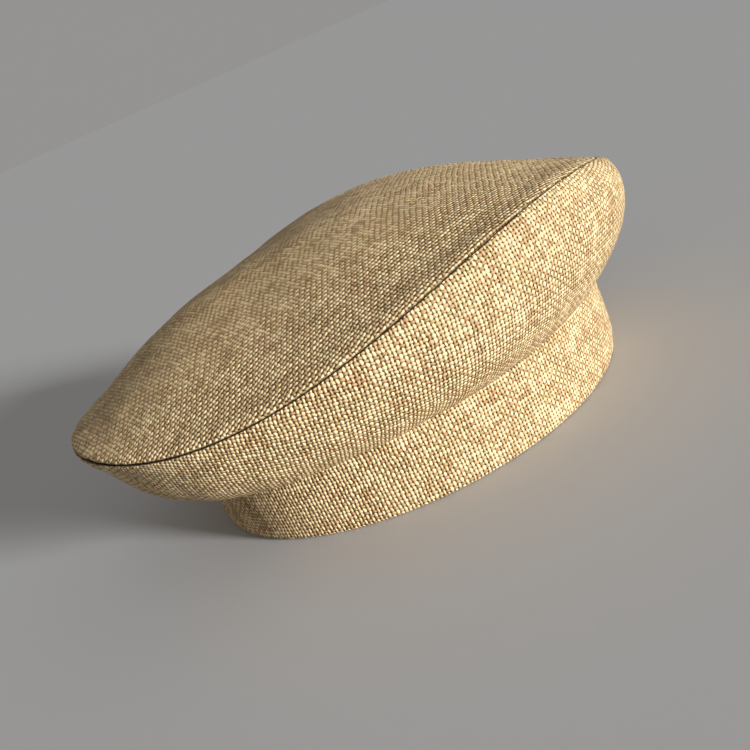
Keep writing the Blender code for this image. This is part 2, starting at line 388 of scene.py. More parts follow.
def weave(start, wobble):
    """The weave at a point: its height, and which thread, slub and crossing it belongs to. The slub
    carries the warp's painted highlight, and the ditch value is the seams' painted shade.
    """
    cut = start.node("ShaderNodeAttribute", {"attribute_name": "cut"}, out="Vector")
    split = start.node("ShaderNodeSeparateXYZ", {}, {"Vector": cut}).socket.node
    # The third value is how much of a seam ditch's painted shade this point gets.
    x, y, ditch = (Sock(start.tree, split.outputs[k]) for k in range(3))
    drift = start.node("ShaderNodeTexNoise", {}, {"Vector": cut, "Scale": 150.0, "Detail": 2.0}, out=1)
    split = start.node("ShaderNodeSeparateXYZ", {}, {"Vector": drift}).socket.node
    x = x / THREAD_PITCH + Sock(start.tree, split.outputs[0]) * wobble
    y = y / THREAD_PITCH + Sock(start.tree, split.outputs[1]) * wobble
    warp, weft = x.math("FLOOR", x), y.math("FLOOR", y)
    over = 1 - warp.math("FLOORED_MODULO", warp + weft, 2.0) * 2
    warp_slub = thread_tone(start, warp, y, 0.16, 1.5)
    weft_slub = thread_tone(start, weft, x, 0.16, 7.5)
    warp_swing = over * y.math("ABSOLUTE", y.math("SINE", y * pi))
    weft_swing = over * -1 * x.math("ABSOLUTE", x.math("SINE", x * pi))
    warp_height = thread_height(x, warp, warp_swing, warp_slub, 0.18) + WARP_PROUD
    weft_height = thread_height(y, weft, weft_swing, weft_slub, 0.21)
    on_top = warp_height > weft_height
    height = warp_height.math("SMOOTH_MAX", warp_height, weft_height, 0.06)
    slub = on_top * warp_slub + (1 - on_top) * weft_slub
    place = start.node("ShaderNodeCombineXYZ", {}, {"X": warp, "Y": weft, "Z": on_top})
    crossing = start.node("ShaderNodeTexWhiteNoise", {}, {"Vector": place}, out="Value")
    warp_hue = thread_tone(start, warp, y, 0.05, 3.5)
    weft_hue = thread_tone(start, weft, x, 0.05, 9.5)
    hue = on_top * warp_hue + (1 - on_top) * weft_hue
    # The slub value carries the warp's painted highlight.
    return cut, height, slub + on_top * WARP_PAINTED_HIGHLIGHT, crossing, hue, ditch


def straw_cloth():
    material, start, shader = new_material("straw_cloth")
    cut, height, slub, crossing, hue, ditch = weave(start, WEAVE_WOBBLE)
    patch = start.node("ShaderNodeTexNoise", {}, {"Vector": cut, "Scale": 70.0, "Detail": 1.0})
    # The tone carries the warp's painted highlight through the slub.
    tone = (slub * 1.3 + crossing * 0.7 + patch * 0.5 - 1.00).between(0.0, 1.0)
    deep = (hue * 1.6 - 0.3).between(0.0, 1.0).blend(STRAW_OLIVE, STRAW_PINK)
    thread = tone.blend(deep, STRAW_PALE)
    # Painted shade: the low points of the weave, the holes and the sides of each thread, are painted
    # towards red-brown, because the bump casts no shadow.
    crest = height.between(-0.40, 0.06)
    colour = crest.blend(HOLE_SHADE_BROWN, thread)
    # Painted shade: the seams' ditches are painted dark brown, as much as the cut's third value says.
    colour = ditch.blend(colour, DITCH_SHADE_BROWN)
    connect(start, shader, colour, height, THREAD_PITCH * RELIEF_SHARE)
    shader.inputs["Roughness"].default_value = 0.66
    shader.inputs["Specular IOR Level"].default_value = 0.18
    return material


STRAW = straw_cloth()
print("threads to 10 cm:", round(0.1 / THREAD_PITCH))

# %% [markdown]
# ## The inner cloths
# The lining is a smooth brown twill with a soft sheen, the ribbon is dark and ribbed across, the
# backing is a stiff canvas, and the label is plain tape. They share one way of working: a fine
# repeating relief from the flat cut, painted darker in its low parts as shade, and a tone that
# wanders a little.

# %% Inner cloths
def ribbed_cloth(name, light, dark, pitch, slant, relief, roughness, sheen):
    """A cloth of fine parallel ribs, which slant as twill does when slant isn't 0."""
    material, start, shader = new_material(name)
    cut = start.node("ShaderNodeAttribute", {"attribute_name": "cut"}, out="Vector")
    split = start.node("ShaderNodeSeparateXYZ", {}, {"Vector": cut}).socket.node
    across, along = Sock(start.tree, split.outputs[0]), Sock(start.tree, split.outputs[1])
    phase = (across + along * slant) * (2 * pi / pitch)
    rib = phase.math("SINE", phase) * 0.5 + 0.5
    uneven = start.node("ShaderNodeTexNoise", {}, {"Vector": cut, "Scale": 90.0, "Detail": 4.0})
    # Painted shade: the colour darkens in the grooves between the ribs.
    colour = (rib * 0.55 + uneven * 0.6 - 0.1).between(0.0, 1.0).blend(dark, light)
    connect(start, shader, colour, rib, relief)
    shader.inputs["Roughness"].default_value = roughness
    shader.inputs["Sheen Weight"].default_value = sheen
    return material


def canvas_cloth(name, light, dark, pitch, relief):
    """A fine square weave, for backing canvas and tape."""
    material, start, shader = new_material(name)
    cut = start.node("ShaderNodeAttribute", {"attribute_name": "cut"}, out="Vector")
    split = start.node("ShaderNodeSeparateXYZ", {}, {"Vector": cut}).socket.node
    across, along = Sock(start.tree, split.outputs[0]), Sock(start.tree, split.outputs[1])
    one, other = across * (pi / pitch), along * (pi / pitch)
    lattice = one.math("SINE", one) * other.math("SINE", other)
    uneven = start.node("ShaderNodeTexNoise", {}, {"Vector": cut, "Scale": 300.0, "Detail": 3.0})
    # Painted shade: the colour darkens in the low parts of the lattice.
    colour = (lattice * 0.35 + uneven).between(0.1, 0.9).blend(dark, light)
    connect(start, shader, colour, lattice, relief)
    shader.inputs["Roughness"].default_value = 0.9
    return material


def spun_thread():
    """Two plies twisted together: slanting light and dark bands in the thread's own space, the dark
    ones painted shade in the grooves between the plies.
    """
    material, start, shader = new_material("spun_thread")
    place = start.node("ShaderNodeTexCoord", out="Object")
    wave = start.node("ShaderNodeTexWave", {"bands_direction": "DIAGONAL"},
                      {"Vector": place, "Scale": 700.0, "Distortion": 2.0, "Detail": 1.0}, out="Fac")
    colour = wave.blend((0.035, 0.016, 0.008), (0.12, 0.062, 0.032))
    connect(start, shader, colour, wave, 0.00005)
    shader.inputs["Roughness"].default_value = 0.7
    return material


LINING = ribbed_cloth("brown_lining", (0.33, 0.215, 0.115), (0.22, 0.135, 0.07),
                      0.0007, 0.6, 0.00004, 0.38, 0.25)
RIBBON = ribbed_cloth("ribbed_ribbon", (0.15, 0.09, 0.05), (0.055, 0.03, 0.017),
                      0.0011, 0.0, 0.00018, 0.7, 0.15)
CANVAS = canvas_cloth("backing_canvas", (0.66, 0.60, 0.48), (0.42, 0.37, 0.28), 0.0009, 0.0001)
TAPE = canvas_cloth("label_tape", (0.80, 0.77, 0.69), (0.62, 0.58, 0.50), 0.0005, 0.00005)
THREAD = spun_thread()
print("materials:", [m.name for m in (STRAW, LINING, RIBBON, CANVAS, TAPE, THREAD)])

# %% [markdown]
# ## The tip
# One oval of cloth, domed by steam. It rolls over a small round edge into the seam, and the turned
# allowance under it raises a soft ridge a few millimetres in. The weave isn't drawn in a plane: it is
# carried outwards from the top of the dome along the cloth, so the threads keep their pitch on slopes.

# %% Tip panel
CLOTH = 0.0012
LAYER_GAP = 0.0008
INTERLINING = 0.0006
ALLOWANCE_ROOM = 0.0016
LINING_CLOTH = 0.0004
SEAM_SLIT = 0.0004             # room that two sewn edges keep at the bottom of their ditch
EDGE_ROLL = 0.0009             # radius of a seam's rolled edge
ALLOWANCE = 0.0022             # how far a sewn edge goes on into the cap
ROLL_STEPS = 7
TIP_GRAIN = radians(-79)       # the way across the warp, measured round from the front
TIP_STRETCH = 1.17             # the warp's spacing over the dome, against the weft's


def sunk(distance, radius=EDGE_ROLL):
    """How deep a rounded edge has sunk at a distance from an end seam."""
    near = np.clip(1 - distance / radius, 0, 1)
    return radius * (1 - np.sqrt(1 - near ** 2))


def unit(vectors):
    return vectors / np.maximum(np.linalg.norm(vectors, axis=-1, keepdims=True), 1e-12)


def seam_inwards(first, second):
    """The way into the cap between two sewn pieces, from their outward normals."""
    return -unit(first + second)


def ditch_rows(count):
    """Painted shade for the rows of a sewn edge: 1 in the seam, fading to 0 round the roll, for as many
    rows as rolled_rows gives.
    """
    deep = np.clip(1.0 - 2.2 * np.linspace(0, 1, ROLL_STEPS), 0, 1)
    return np.concatenate([[1.0, 1.0, 1.0], deep, np.zeros(count - 3 - ROLL_STEPS)])[:, None]


def roll_reach(half_angle, radius, slit):
    """How far from the corner line a rolled edge starts to turn."""
    return radius / np.tan(half_angle / 2) + slit / 2 / np.sin(half_angle)


def rolled_rows(corner, towards, inwards, radius, slit, allowance):
    """Rows round a sewn edge: up out of the seam, round the roll, and on to the piece's face."""
    along = unit(towards - corner)
    half_angle = np.arccos(np.clip((along * inwards).sum(-1), -1, 1))[:, None]
    across = unit(inwards - along * np.cos(half_angle))
    centre = corner + along * roll_reach(half_angle, radius, slit) + across * radius
    side = -along * np.sin(half_angle) + across * np.cos(half_angle)
    rows = [centre + side * radius + inwards * allowance * share for share in (1.0, 0.6, 0.3)]
    for share in np.linspace(0, 1, ROLL_STEPS):
        turn = pi / 2 + half_angle + (pi - half_angle) * share
        rows.append(centre + radius * (along * np.cos(turn) + across * np.sin(turn)))
    return rows


def ditch_shade_strength(angle):
    """How strong the painted shade in the tip seam's ditch is: strongest at the back, and weak where
    the seam is opened up flat at the front.
    """
    return np.clip(0.62 - 0.5 * np.cos(angle), 0, 1)


def graded(count, fine):
    """Shares from 0 to 1 that crowd towards 0, where the cloth turns most."""
    even = np.linspace(0, 1, count)
    return fine * even + (1 - fine) * even ** 2


def tip_grid(depth, start, columns, rows, detail, edge=None):
    """Points and flat cut of an oval layer over the dome; edge gives the rows of its sewn edge."""
    angle = np.linspace(0, 2 * pi, columns, endpoint=False)[None, :]
    share = graded(rows + 1, 0.35)[:-1, None]
    t = start[None, :] + (1 - start[None, :]) * share
    angle = np.broadcast_to(angle, t.shape)
    points = tip_surface(angle, t)
    normal = outward(tip_surface, angle, t)
    top = tip_surface(np.zeros(1), np.ones(1))[0]
    lift = detail(points, run_lengths(points, 0)) - depth
    points = points + normal * lift[..., None]
    ditch = 0.0
    if edge is not None:
        points = edge(points)
        # Painted shade: the rolled edge's rows get the seam ditch's painted shade, weaker towards the
        # front.
        ditch = ditch_rows(len(points)) * ditch_shade_strength(angle[0])
    from_seam = run_lengths(points, 0)
    reach = np.linalg.norm(points[-1] - top, axis=-1) + from_seam[-1]
    out_of_top = reach[None, :] - from_seam
    heading = np.arctan2(points[..., 1] - top[1], points[..., 0] - top[0]) - TIP_GRAIN
    cut = flat_cut(out_of_top * np.cos(heading) / TIP_STRETCH, out_of_top * np.sin(heading), ditch)
    return points, cut, top + np.array([0, 0, lift[-1].mean()])


BACK_PUFF = 0.0042             # how far the back of the tip is puffed up


def tip_detail(points, from_seam):
    x, y = points[..., 0], points[..., 1]
    fade = 1 - hump(from_seam, 0.012)
    lift = 0.0007 * ripple(x, y, 0.085, 3) * fade
    lift += 0.00022 * ripple(x, y, 0.022, 4) * fade
    lift += 0.00008 * ripple(x, y, 0.006, 5)
    lift += BACK_PUFF * hump(x + 0.076, 0.040) * hump(y - 0.028, 0.055) * fade
    lift += 0.00025 * hump(from_seam - 0.0045, 0.0035)
    lift += 0.00018 * ripple(x, y, 0.014, 6) * hump(from_seam, 0.016)
    return lift


def smooth(points, from_seam):
    return np.zeros(points.shape[:2])


def corner_setback(angle, depth):
    """How far along the cloth a layer must stop from the seam, so that the corner's layers clear."""
    near = 0.03
    seam = TIP_SEAM.at(angle)
    to_tip = tip_surface(angle, np.full_like(angle, near)) - seam
    to_side = side_surface(angle, np.full_like(angle, 1 - near)) - seam
    to_tip /= np.linalg.norm(to_tip, axis=-1, keepdims=True)
    to_side /= np.linalg.norm(to_side, axis=-1, keepdims=True)
    half = np.arccos((to_tip * to_side).sum(-1)) / 2
    return (SEAM_SLIT / 2 + depth * np.cos(half)) / np.sin(half)


def speed(surface, angle, t):
    """Metres of cloth for each unit of t."""
    step = 1e-3
    t = np.full_like(angle, t)
    return np.linalg.norm(surface(angle, t + step) - surface(angle, t - step), axis=-1) / (2 * step)


def tip_start(angle, setback):
    return setback / speed(tip_surface, angle, 0.02)


def tip_corner(angle):
    """The corner line between tip and sides, pushed out a little, and the way into the cap."""
    near = 0.02
    start, end = np.full_like(angle, near), np.full_like(angle, 1 - near)
    inwards = seam_inwards(outward(tip_surface, angle, start), outward(side_surface, angle, end))
    seam = TIP_SEAM.at(angle)
    half_angle = np.arccos(np.clip((unit(tip_surface(angle, start) - seam) * inwards).sum(-1), -1, 1))
    cut_back = EDGE_ROLL * (1 / np.sin(half_angle / 2) - 1)
    return seam - inwards * (0.75 * cut_back)[..., None], inwards, half_angle


def front_fullness(angle):
    """How far the front of the crown stands out and up, where the backing is fullest."""
    return FRONT_FULLNESS * hump(np.arctan2(np.sin(angle), np.cos(angle)), 0.75)


FRONT_FULLNESS = 0.0026
TIP_COLUMNS = 440
TIP_ROWS = 96
round_angles = np.linspace(0, 2 * pi, TIP_COLUMNS, endpoint=False)
corner, inwards, half_angle = tip_corner(round_angles)
edge_start = tip_start(round_angles, roll_reach(half_angle, EDGE_ROLL, SEAM_SLIT) + 0.0004)


def tip_edge(points):
    """Moves the cloth out to the corner line and adds the rows of the rolled edge."""
    fuller = -inwards * front_fullness(round_angles)[:, None]
    from_seam = run_lengths(points, 0)[..., None]
    push = (corner - TIP_SEAM.at(round_angles)) * hump(from_seam, 0.009)
    push = push + fuller * hump(from_seam, 0.016)
    rows = rolled_rows(corner + fuller, points[0] + push[0], inwards, EDGE_ROLL, SEAM_SLIT, ALLOWANCE)
    return np.concatenate([np.stack(rows), points + push])


points, cut, top = tip_grid(0.0, edge_start, TIP_COLUMNS, TIP_ROWS, tip_detail, tip_edge)
tip_panel = shell("straw_tip", points, True, CLOTH, cut, top, (0.0, 0.0, 0.0))
settle(tip_panel, "cap", "straw_cloth", STRAW, "tip_panel")
as_sheet(tip_panel, "stretched", "tip_interlining")

# %% [markdown]
# ## The side panels
# Two mirrored halves meet at the front and the back. Each was cut as part of a ring, so its grain is
# straight in the middle of the flank and leans a little more towards either end. The flat cut is that
# ring: the radius is the distance up the panel, and the angle is the distance round it.

# %% Side panels
SIDE_GRAIN = radians(-9)       # lean of the threads in the middle of the flank
SIDE_CUT_RADIUS = 0.50         # the flat ring's radius half way up
WAIST_ROLL = 0.0008
END_SLIT = 0.00005
FLANK_FULLNESS = 0.0045        # how far the soft flank swells past the shape of its backing
SIDE_COLUMNS = 400
SIDE_ROWS = 72


def end_angles(start, stop, columns, slit):
    """Angles from one end seam to the other, with extra columns where each end rolls in."""
    near = np.array([0.0, 0.00012, 0.00026, 0.00042, 0.0006, 0.0008, 0.0011, 0.0016]) + slit
    near = near / BAND_EDGE.half_width
    middle = np.linspace(start + near[-1] * 1.4, stop - near[-1] * 1.4, columns - 2 * len(near))
    return np.concatenate([start + near, middle, stop - near[::-1]])


def half_ring(side, columns, slit):
    """Angles of the left (+1) or right (-1) half, from one end seam to the other."""
    return end_angles(0, pi, columns, slit) if side > 0 else end_angles(pi, 2 * pi, columns, slit)


def side_cut(points, side, ditch=None):
    """Flat cut of a half: its ring unrolled step by step up each column, then turned by the lean."""
    ring = unit(np.gradient(points, axis=1))
    step = np.diff(points, axis=0)
    sideways = (step * unit(ring[1:] + ring[:-1])).sum(-1)
    upwards = np.sqrt(np.maximum((step ** 2).sum(-1) - sideways ** 2, 0))
    middle = len(points) * 6 // 10
    start = np.zeros((1, points.shape[1]))
    radius = SIDE_CUT_RADIUS + np.concatenate([start, np.cumsum(upwards, axis=0)])
    radius -= radius[middle] - SIDE_CUT_RADIUS
    drift = np.concatenate([start, np.cumsum(sideways / radius[1:], axis=0)])
    across = run_lengths(points, 1)[middle]
    turn = (across - across[-1] / 2) / SIDE_CUT_RADIUS + drift - drift[middle]
    x, y = radius * np.sin(turn), radius * np.cos(turn) - SIDE_CUT_RADIUS
    lean = SIDE_GRAIN * -side
    return flat_cut(x * cos(lean) + y * sin(lean), y * cos(lean) - x * sin(lean), ditch)


def both_ends(count, fine):
    """Shares from 0 to 1 that crowd towards both ends."""
    even = np.linspace(0, 1, count)
    return fine * even + (1 - fine) * (3 * even ** 2 - 2 * even ** 3)


def side_grid(side, depth, start, stop, slit, columns, rows, detail, edges=None):
    angle = half_ring(side, columns, slit)
    low, high = start(angle), stop(angle)
    t = low[None, :] + (high - low)[None, :] * both_ends(rows, 0.45)[:, None]
    angle = np.broadcast_to(angle[None, :], t.shape)
    points = side_surface(angle, t)
    normal = outward(side_surface, angle, t)
    up = run_lengths(points, 0)
    across = run_lengths(points, 1)
    down = up[-1:] - up
    from_end = np.minimum(across, across[:, -1:] - across)
    lift = detail(points, up, down, from_end) - depth
    points = points + normal * lift[..., None]
    if edges is None:
        return points, side_cut(points, side)
    points, ditch = edges(points, angle[0])
    from_end = run_lengths(points, 1)
    from_end = np.minimum(from_end, from_end[:, -1:] - from_end)
    # Painted shade: the end seams' ditches are painted dark close to each end.
    return points, side_cut(points, side, np.maximum(ditch, hump(from_end, 0.0003)))


def side_detail(points, from_waist, from_tip, from_end):
    x, z = points[..., 0], points[..., 2]
    fade = (1 - hump(from_waist, 0.010)) * (1 - hump(from_tip, 0.010))
    lift = 0.0007 * ripple(x, z * 1.6, 0.070, 13) * fade
    lift += 0.00025 * ripple(x, z, 0.020, 14) * fade
    lift += 0.00008 * ripple(x, z, 0.006, 15)
    lift += 0.00045 * ripple(x, z * 0.2, 0.020, 16) * hump(from_waist, 0.014)
    lift += 0.00030 * hump(from_tip - 0.0030, 0.0024)
    share = from_waist / (from_waist + from_tip)
    towards_end = np.clip(np.abs(x - BAND_EDGE.centre) / 0.11, 0, 1) ** 2
    lift += FLANK_FULLNESS * (0.45 + 0.55 * towards_end) * np.sin(pi * share ** 0.8)
    return lift - sunk(from_end)


def waist_corner(angle):
    """The line between sides and headband, the way in, and each piece's angle to that way."""
    start, end = np.full_like(angle, 0.02), np.full_like(angle, 0.98)
    inwards = seam_inwards(outward(side_surface, angle, start), outward(band_surface, angle, end))
    seam = WAIST.at(angle)
    up, down = unit(side_surface(angle, start) - seam), unit(band_surface(angle, end) - seam)
    return seam, inwards, np.arccos((up * inwards).sum(-1)), np.arccos((down * inwards).sum(-1))


def side_edges(points, angle):
    """Rolls the upper edge of a half into the tip seam and the lower edge into the waist, and gives
    the rows the painted shade of both ditches.
    """
    corner, inwards, _ = tip_corner(angle)
    fuller = -inwards * front_fullness(angle)[:, None]
    down = run_lengths(points[::-1], 0)[::-1][..., None]
    points = points + (corner - TIP_SEAM.at(angle)) * hump(down, 0.009) + fuller * hump(down, 0.032)
    above = rolled_rows(corner + fuller, points[-1], inwards, EDGE_ROLL, SEAM_SLIT, ALLOWANCE)
    corner, inwards, *_ = waist_corner(angle)
    below = rolled_rows(corner, points[0], inwards, WAIST_ROLL, SEAM_SLIT, ALLOWANCE)
    points = np.concatenate([np.stack(below), points, np.stack(above[::-1])])
    rows = len(points)
    return points, np.maximum(0.6 * ditch_rows(rows), ditch_rows(rows)[::-1] * ditch_shade_strength(angle))


def at_waist(distance):
    return lambda angle: distance / speed(side_surface, angle, 0.02)


def above_waist_roll(angle):
    reach = roll_reach(waist_corner(angle)[2], WAIST_ROLL, SEAM_SLIT) + 0.0003
    return reach / speed(side_surface, angle, 0.02)


def below_tip_roll(angle):
    reach = roll_reach(tip_corner(angle)[2], EDGE_ROLL, SEAM_SLIT) + 0.0004
    return 1 - reach / speed(side_surface, angle, 0.98)


def at_tip(depth, trim=0.0):
    return lambda angle: 1 - (corner_setback(angle, depth) + trim) / speed(side_surface, angle, 0.98)


for side, word in ((1, "left"), (-1, "right")):
    points, cut = side_grid(side, 0.0, above_waist_roll, below_tip_roll, END_SLIT,
                            SIDE_COLUMNS, SIDE_ROWS, side_detail, side_edges)
    piece = shell("straw_side_" + word, points, False, CLOTH, cut)
    settle(piece, "cap", "straw_cloth", STRAW, "side_panel_" + word)
    as_sheet(piece, "stretched", "side_interlining_" + word)

# %% [markdown]
# ## The headband
# One strip of the same cloth, joined at the back. It runs down from the waist, folds under at the
# lower edge and turns up inside as a hem. The strip is drawn as the path of that fold, carried round
# the oval, and its weave runs on round the fold as real cloth does.

# %% Headband
STIFFENER = 0.0008
FOLD = 2 * CLOTH + STIFFENER + 2 * LAYER_GAP
FOLD_HEIGHT = 0.0018
HEM_HEIGHT = 0.012
BAND_FULLNESS = 0.0020         # how far the front of the band stands out past its backing
BAND_COLUMNS = 700


def band_point(angle, depth, height):
    """Points at a depth inside the band's outer face, at a height."""
    rise = WAIST.at(angle)[..., 2]
    height = np.broadcast_to(height, rise.shape)
    share = np.clip(height / rise, 0, 1)
    normal = outward(band_surface, angle, share)
    points = band_surface(angle, share) - normal * np.asarray(depth)[..., None]
    points[..., 2] = height
    return points


def fold_rows(angle, reach):
    """Rows of the fold, from the top of the hem, round the lower edge, up to the waist's roll."""
    rise = WAIST.at(angle)[..., 2] - reach
    hem = np.linspace(HEM_HEIGHT, FOLD_HEIGHT + 0.001, 7)
    rows = [band_point(angle, FOLD, height) for height in hem]
    for turn in np.linspace(pi, 0, 15):
        height = FOLD_HEIGHT * (1 - sin(turn))
        rows.append(band_point(angle, FOLD / 2 * (1 - cos(turn)), height))
    for share in np.linspace(0, 1, 24):
        rows.append(band_point(angle, 0.0, (FOLD_HEIGHT + 0.001) * (1 - share) + rise * share))
    return np.stack(rows)


def band_grid():
    angle = end_angles(-pi, pi, BAND_COLUMNS, END_SLIT)
    corner, inwards, _, down_angle = waist_corner(angle)
    points = fold_rows(angle, roll_reach(down_angle, WAIST_ROLL, SEAM_SLIT) + 0.0003)
    across, up = run_lengths(points, 1), run_lengths(points, 0)
    from_end = np.minimum(across, across[:, -1:] - across)
    outer = np.clip((up - 0.016) / 0.006, 0, 1)
    lift = 0.00035 * ripple(across, up, 0.045, 23) * outer * (1 - hump(up[-1:] - up, 0.006))
    lift += 0.00007 * ripple(across, up, 0.006, 24) + BAND_FULLNESS * hump(angle, 0.8) * outer
    lift -= sunk(from_end) * outer
    out = unit(points[..., :2] - np.array([BAND_EDGE.centre, 0]))
    points[..., :2] += out * lift[..., None]
    waist = rolled_rows(corner, points[-1], inwards, WAIST_ROLL, SEAM_SLIT, ALLOWANCE)
    middle = len(points) // 2
    points = np.concatenate([points, np.stack(waist[::-1])])
    across, up = run_lengths(points, 1), run_lengths(points, 0)
    from_end = np.minimum(across, across[:, -1:] - across)
    # Painted shade: the waist's ditch and the back seam are painted dark.
    ditch = np.maximum(0.6 * ditch_rows(len(points))[::-1], hump(from_end, 0.0003))
    return points, flat_cut(across[middle][None, :], up, ditch)


points, cut = band_grid()
headband = shell("straw_headband", points, False, CLOTH, cut)
settle(headband, "cap", "straw_cloth", STRAW, "headband")
as_sheet(headband, "folded", "headband_stiffener")

# %% [markdown]
# ## Backing, lining, stiffener and ribbon
# These follow the outer pieces at a depth. The lining is cut a little full, so it waves softly.

# %% Inner layers
INNER_COLUMNS = 240
WAIST_TRIM = 0.0025
SEAM_TRIM = 0.0020
LINING_TRIM = 0.0002           # the lining's pieces meet at their seams


def soft_waves(points, from_seam):
    x, y = points[..., 0], points[..., 1]
    return -0.0007 * np.abs(ripple(x, y, 0.045, 33)) * (1 - hump(from_seam, 0.015))


def no_waves(points, from_waist, from_tip, from_end):
    return np.zeros(points.shape[:2])


def lining_waves(points, from_waist, from_tip, from_end):
    x, z = points[..., 0], points[..., 2]
    return -0.0007 * np.abs(ripple(x, z * 0.3, 0.018, 34)) * (1 - hump(from_tip, 0.006))


def tucked_edge(points, angle):
    """Carries the lining on past the waist, down behind the ribbon."""
    corner, inwards, *_ = waist_corner(angle)
    rise = WAIST.at(angle)[..., 2]
    rows = [band_point(angle, lining_depth, rise - drop) for drop in (0.0090, 0.0060, 0.0030, 0.0008)]
    rows.append(corner + inwards * lining_depth)
    points = np.concatenate([np.stack(rows), points])
    return points, np.zeros(points.shape[:2])


def inner_layer(kind, slot, material, depth, thickness, trim, tip_waves, side_waves, edges=None):
    """A tip and two halves of an inner layer, stopped short of the tip seam by a trim."""
    angle = np.linspace(0, 2 * pi, INNER_COLUMNS, endpoint=False)
    start = tip_start(angle, corner_setback(angle, depth + thickness) + trim)
    points, cut, top = tip_grid(depth, start, INNER_COLUMNS, 30, tip_waves)
    piece = shell("inner_tip_" + kind, points, True, thickness, cut, top, (0.0, 0.0, 0.0))
    settle(piece, "cap", slot, material, "tip_" + kind)
    as_sheet(piece, "stretched", "tip_seam_thread")
    for side, word in ((1, "left"), (-1, "right")):
        points, cut = side_grid(side, depth, at_waist(WAIST_TRIM), at_tip(depth + thickness, trim),
                                trim / 4, INNER_COLUMNS // 2, 24, side_waves, edges)
        piece = shell("inner_side_" + kind + "_" + word, points, False, thickness, cut)
        settle(piece, "cap", slot, material, "side_" + kind + "_" + word)
        as_sheet(piece, "stretched", "tip_seam_thread", "waist_seam_thread")


backing_depth = CLOTH + LAYER_GAP
lining_depth = backing_depth + INTERLINING + ALLOWANCE_ROOM
inner_layer("interlining", "backing_canvas", CANVAS, backing_depth, INTERLINING, SEAM_TRIM,
            smooth, no_waves)
inner_layer("lining", "lining_satin", LINING, lining_depth, LINING_CLOTH, LINING_TRIM,
            soft_waves, lining_waves, tucked_edge)

# %% Stiffener and ribbon
SWEATBAND = 0.0008
SWEATBAND_LIFT = 0.0025
SWEATBAND_DROP = 0.0055
STIFFENER_DROP = 0.0020
RIBBON_DEPTH = FOLD + LAYER_GAP


def strip(name, depth, low, drop, thickness, bow):
    """A strip that stands inside the band, joined at the back."""
    angle = np.linspace(-pi + 0.002, pi - 0.002, 2 * INNER_COLUMNS)
    share = np.linspace(0, 1, 22)[:, None]
    rise = WAIST.at(angle)[None, :, 2]
    height = low + (rise - drop - low) * share
    angle = np.broadcast_to(angle[None, :], height.shape)
    points = band_point(angle, depth + bow(angle, share), height)
    cut = flat_cut(run_lengths(points, 1), run_lengths(points, 0))
    return shell(name, points, False, thickness, cut)


stiffener = strip("canvas_stiffener", CLOTH + LAYER_GAP, CLOTH + LAYER_GAP, STIFFENER_DROP, STIFFENER,
                  lambda angle, share: np.zeros_like(angle * share))
settle(stiffener, "cap", "backing_canvas", CANVAS, "headband_stiffener")
as_sheet(stiffener, "stretched", "headband")
ribbon = strip("ribbed_sweatband", RIBBON_DEPTH, SWEATBAND_LIFT, SWEATBAND_DROP, SWEATBAND,
               lambda angle, share: 0.0003 * np.sin(9 * angle) * share)
settle(ribbon, "cap", "sweatband_ribbon", RIBBON, "sweatband")
as_sheet(ribbon, "stretched", "headband")

# %% [markdown]
# ## Stitches
# A seam is a row of separate stitches. Each one is a short curve with a round bevel that dips into the
# cloth at both ends, and a whole row is one curve object with a spline for every stitch.

# %% Stitches
STITCH_RADIUS = 0.00032
STITCH_PITCH = 0.0028
RIBBON_STITCH_PITCH = 0.0035
LABEL_STITCH_PITCH = 0.0026
LABEL_STITCH_RADIUS = 0.00025
WAIST_STITCH_DEPTH = 0.0021    # how far inside the waist's corner line its stitches lie
END_STITCH_DEPTH = 0.0019      # and the end seams' stitches inside the outer face


def even_line(points, closed, pitch):
    """Points of a line, a stitch apart."""
    line = np.concatenate([points, points[:1]]) if closed else points
    length = np.concatenate([[0], np.cumsum(np.linalg.norm(np.diff(line, axis=0), axis=1))])
    places = np.linspace(0, length[-1], int(length[-1] / pitch) * 4 + 1)
    return np.stack([np.interp(places, length, line[:, k]) for k in range(3)], axis=1)


def stitch_row(name, points, closed, pitch, inwards, radius=STITCH_RADIUS):
    """Stitches along a line; inwards gives the direction in which their ends dip at a point."""
    line = even_line(points, closed, pitch)
    curve = bpy.data.curves.new(name, "CURVE")
    curve.dimensions = "3D"
    curve.bevel_depth = radius
    curve.bevel_resolution = 2
    curve.use_fill_caps = True
    for first in range(0, len(line) - 4, 4):
        spline = curve.splines.new("POLY")
        spline.points.add(4)
        head = line[first] * 0.92 + line[first + 1] * 0.08
        tail = line[first + 4] * 0.92 + line[first + 3] * 0.08
        run = [head, *line[first + 1:first + 4], tail]
        for knot, place, dip in zip(spline.points, run, (1.0, 0.15, 0.0, 0.15, 1.0)):
            knot.co = (*(place + inwards(place) * dip * radius * 1.6), 1.0)
    row = bpy.data.objects.new(name, curve)
    bpy.context.scene.collection.objects.link(row)
    print(name, "has", len(curve.splines), "stitches")
    return row


def towards_middle(place):
    """Inwards and level, towards the cap's upright axis."""
    way = np.array([BAND_EDGE.centre - place[0], -place[1], 0.0])
    return way / np.linalg.norm(way)


